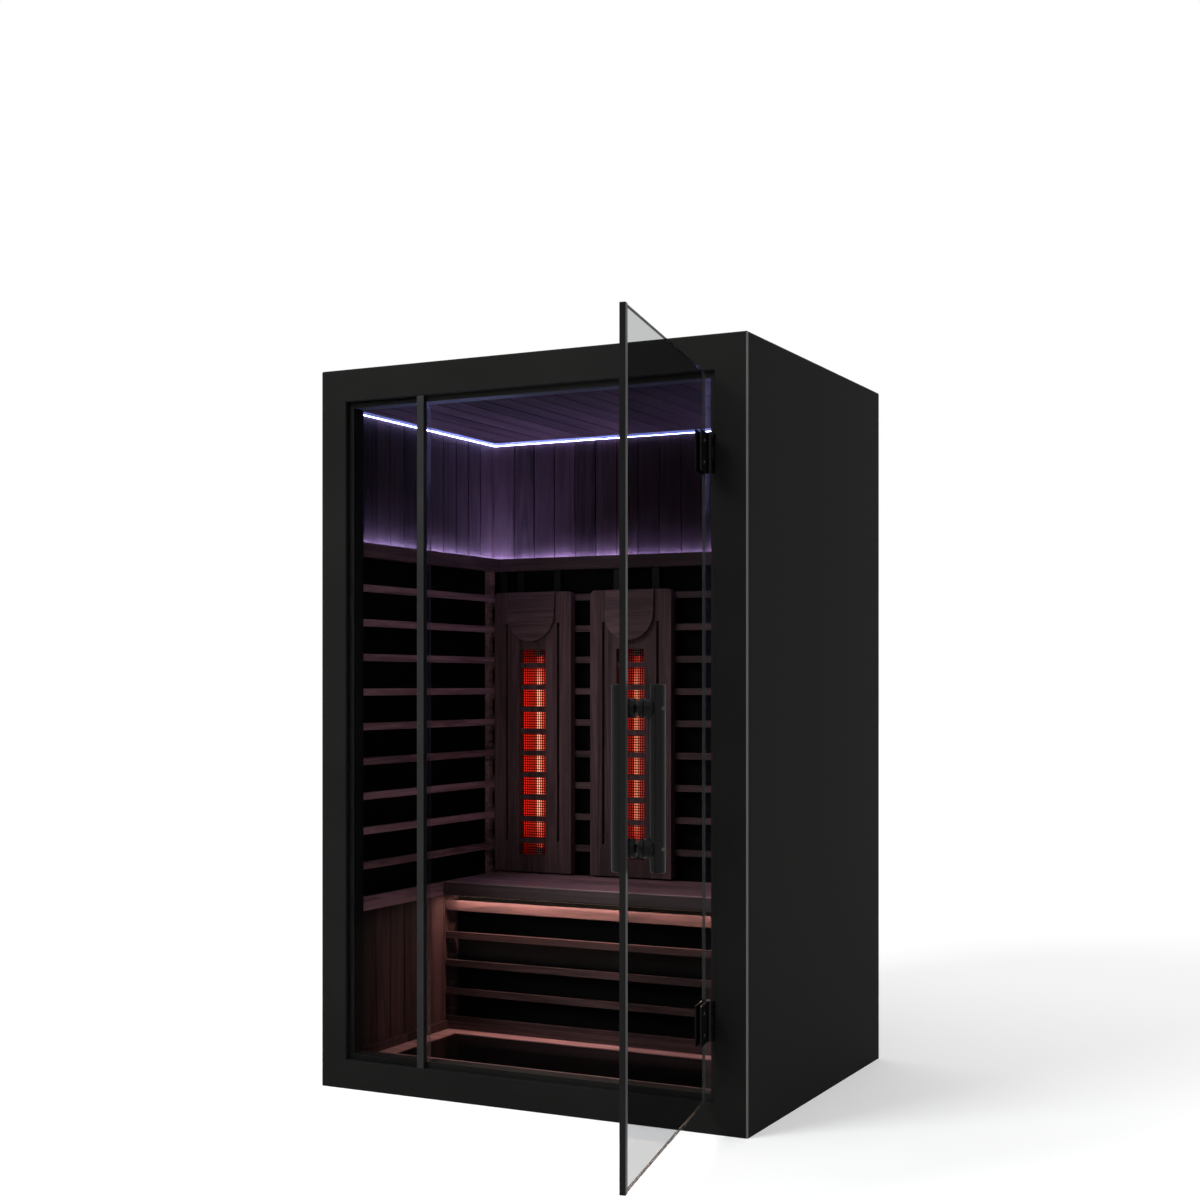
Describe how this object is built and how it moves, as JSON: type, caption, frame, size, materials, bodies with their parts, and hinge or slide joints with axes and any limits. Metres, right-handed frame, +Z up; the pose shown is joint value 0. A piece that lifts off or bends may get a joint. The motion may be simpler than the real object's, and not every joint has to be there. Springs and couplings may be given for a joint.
{
  "type": "infrared sauna cabin",
  "caption": "Black upright infrared sauna cabin with a hinged glass door, slatted wall heaters, a bench, backrests with glowing emitters and light strips.",
  "frame": {"origin": "middle of the footprint on the floor, on the underside of the base", "axes": "+Z up, -Y out of the glass front, +X to the right seen from the front"},
  "size_m": [1.3067, 1.7903, 1.9],
  "materials": {
    "black_panel": "matt black laminate on board",
    "dark_timber": "dark stained softwood, satin",
    "heater_black": "matt black panel heater",
    "gloss_black_glass": "polished black",
    "black_metal": "black powder coat, satin",
    "black_plastic": "matt moulded",
    "clear_glass": "clear toughened, polished",
    "clear_seal": "clear soft strip",
    "cool_light": "diffuser over cool light strip",
    "warm_light": "diffuser over warm light strip",
    "glowing_quartz": "quartz tube, glowing",
    "reflector_metal": "polished reflector"
  },
  "bodies": {
    "cabin": {"back_guard": "dark_timber", "back_heater": "heater_black", "back_ledge": "dark_timber", "back_upper_boards": "dark_timber", "back_wall": "black_panel", "base": "black_panel", "bench_guard": "dark_timber", "bench_heater": "heater_black", "bench_light": "warm_light", "bench_seat": "dark_timber", "ceiling_boards": "dark_timber", "ceiling_light": "cool_light", "fixed_glass": "clear_glass", "floor_boards": "dark_timber", "floor_heater": "gloss_black_glass", "front_frame": "black_panel", "hinge_seal": "clear_seal", "latch_seal": "clear_seal", "ledge_light": "cool_light", "left_backrest": "dark_timber", "left_bearer": "dark_timber", "left_emitter_grille": "black_metal", "left_emitter_tray": "reflector_metal", "left_emitter_tube": "glowing_quartz", "left_guard": "dark_timber", "left_headrest": "dark_timber", "left_heater": "heater_black", "left_ledge": "dark_timber", "left_lower_boards": "dark_timber", "left_upper_boards": "dark_timber", "left_wall": "black_panel", "lower_hinge_leaf": "black_metal", "lower_hinge_pin": "black_metal", "mains_inlet": "black_plastic", "mullion": "black_metal", "power_unit": "black_metal", "right_backrest": "dark_timber", "right_bearer": "dark_timber", "right_emitter_grille": "black_metal", "right_emitter_tray": "reflector_metal", "right_emitter_tube": "glowing_quartz", "right_guard": "dark_timber", "right_headrest": "dark_timber", "right_heater": "heater_black", "right_ledge": "dark_timber", "right_lower_boards": "dark_timber", "right_upper_boards": "dark_timber", "right_wall": "black_panel", "roof_panel": "black_panel", "upper_hinge_leaf": "black_metal", "upper_hinge_pin": "black_metal"},
    "door": {"door_glass": "clear_glass", "door_edge_profile": "black_metal", "upper_hinge_clamp": "black_metal", "lower_hinge_clamp": "black_metal", "outer_handle": "black_metal", "inner_handle": "black_metal", "upper_handle_bolt": "black_metal", "lower_handle_bolt": "black_metal"}
  },
  "joints": [
    {"name": "door_swing", "type": "hinge", "parent": "cabin", "child": "door", "pos_m": [0.514, -0.504, 0], "axis": [0, 0, 1], "range_deg": [-102, 18]}
  ]
}
